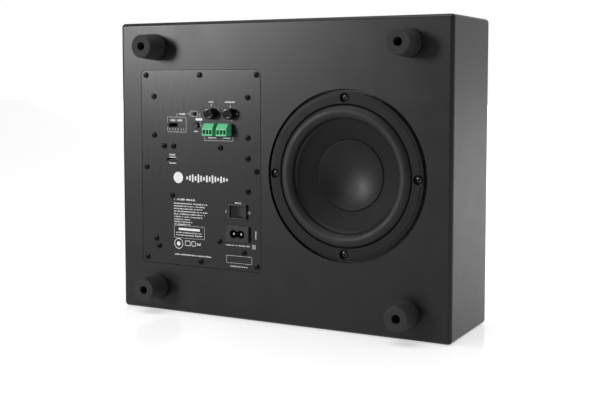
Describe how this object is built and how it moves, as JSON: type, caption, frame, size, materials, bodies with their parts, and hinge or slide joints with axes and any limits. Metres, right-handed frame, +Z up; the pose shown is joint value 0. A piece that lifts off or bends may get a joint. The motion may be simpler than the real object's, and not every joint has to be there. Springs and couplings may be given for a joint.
{
  "type": "active subwoofer",
  "caption": "Slim sealed active subwoofer with a flush amplifier panel, a cone driver and tapered rubber feet on one face.",
  "frame": {"origin": "middle of the footprint on the surface that the cabinet stands on, with the depth taken over cabinet and feet together", "axes": "+Z up as the cabinet stands on its long edge, +X to the right seen from the side with the driver and panel, -Y out of that side, where the feet point"},
  "size_m": [0.368, 0.128, 0.3],
  "materials": {
    "cabinet": "satin black paint, fine texture",
    "wool": "loose wool felt",
    "foot_rubber": "matt",
    "dark_screw": "black oxide",
    "panel": "black anodised, vertical brushing",
    "foam": "soft foam seal",
    "brass_post": "plain",
    "cover": "moulded",
    "circuit": "solder mask",
    "core": "varnished",
    "can": "sleeved can",
    "pot_metal": "plated",
    "gloss_black": "polished",
    "switch_black": "moulded",
    "slider_grey": "moulded",
    "port_metal": "nickel",
    "terminal_green": "moulded",
    "clamp_steel": "zinc plated",
    "rim_black": "satin moulding",
    "pin_metal": "nickel",
    "frame_black": "satin",
    "trim_black": "satin",
    "roll_rubber": "satin rubber",
    "cone_pulp": "coated pulp",
    "cap_pulp": "satin coated",
    "former": "film",
    "copper": "enamelled wire",
    "spider_cloth": "impregnated cloth",
    "steel": "plated",
    "ferrite": "ground",
    "strip_board": "phenolic",
    "braid": "braided",
    "lead_sheath": "sheathed"
  },
  "bodies": {
    "root": {"baffle_board": "cabinet", "top_board": "cabinet", "bottom_board": "cabinet", "left_board": "cabinet", "right_board": "cabinet", "back_board": "cabinet", "damping_pad": "wool", "foot_top_left": "foot_rubber", "foot_top_right": "foot_rubber", "foot_bottom_left": "foot_rubber", "foot_bottom_right": "foot_rubber", "foot_screws": "dark_screw", "amp_panel": "panel", "gaskets": "foam", "panel_screws": "dark_screw", "module_screws": "dark_screw", "board_posts": "brass_post", "amp_cover": "cover", "control_board": "circuit", "amp_board": "circuit", "power_board": "circuit", "transformer": "core", "capacitors": "can", "level_pot": "pot_metal", "crossover_pot": "pot_metal", "mode_switch": "switch_black", "input_switch": "switch_black", "pair_switch": "switch_black", "service_port": "port_metal", "input_header": "terminal_green", "output_header": "terminal_green", "rocker_housing": "rim_black", "inlet_body": "rim_black", "inlet_pins": "pin_metal", "basket": "frame_black", "trim_ring": "trim_black", "driver_screws": "dark_screw", "surround": "roll_rubber", "spider": "spider_cloth", "top_plate": "steel", "magnet": "ferrite", "yoke": "steel", "terminal_strip": "strip_board", "tinsel_leads": "braid", "speaker_lead": "lead_sheath"},
    "cone_assembly": {"cone": "cone_pulp", "dust_cap": "cap_pulp", "coil_former": "former", "voice_coil": "copper"},
    "level_dial": {"level_knob": "gloss_black"},
    "crossover_dial": {"crossover_knob": "gloss_black"},
    "mode_lever": {"mode_slider": "switch_black"},
    "input_lever": {"input_slider": "slider_grey"},
    "pair_key": {"pair_button": "gloss_black"},
    "power_key": {"power_rocker": "switch_black"},
    "input_connector": {"input_plug": "terminal_green", "input_clamps": "clamp_steel"},
    "output_connector": {"output_plug": "terminal_green", "output_clamps": "clamp_steel"}
  },
  "joints": [
    {"name": "cone_travel", "type": "slide", "parent": "root", "child": "cone_assembly", "axis": [0, -1, 0], "range_m": [-0.005, 0.005], "stiffness_N_per_m": 1500, "deforming": ["surround", "spider", "tinsel_leads"]},
    {"name": "level_turn", "type": "hinge", "parent": "root", "child": "level_dial", "pos_m": [-0.0708, -0.039, 0.2073], "axis": [0, -1, 0], "range_deg": [-150, 150]},
    {"name": "crossover_turn", "type": "hinge", "parent": "root", "child": "crossover_dial", "pos_m": [-0.0486, -0.039, 0.2073], "axis": [0, -1, 0], "range_deg": [-150, 150]},
    {"name": "mode_slide", "type": "slide", "parent": "root", "child": "mode_lever", "axis": [1, 0, 0], "range_m": [0, 0.008]},
    {"name": "input_slide", "type": "slide", "parent": "root", "child": "input_lever", "axis": [1, 0, 0], "range_m": [0, 0.0034]},
    {"name": "pair_press", "type": "slide", "parent": "root", "child": "pair_key", "axis": [0, 1, 0], "range_m": [0, 0.0008], "stiffness_N_per_m": 300},
    {"name": "power_tilt", "type": "hinge", "parent": "root", "child": "power_key", "pos_m": [-0.0404, -0.0374, 0.1093], "axis": [0, 0, -1], "range_deg": [0, 24]},
    {"name": "input_unplug", "type": "slide", "parent": "root", "child": "input_connector", "axis": [0, -1, 0], "range_m": [0, 0.012]},
    {"name": "output_unplug", "type": "slide", "parent": "root", "child": "output_connector", "axis": [0, -1, 0], "range_m": [0, 0.012]}
  ]
}
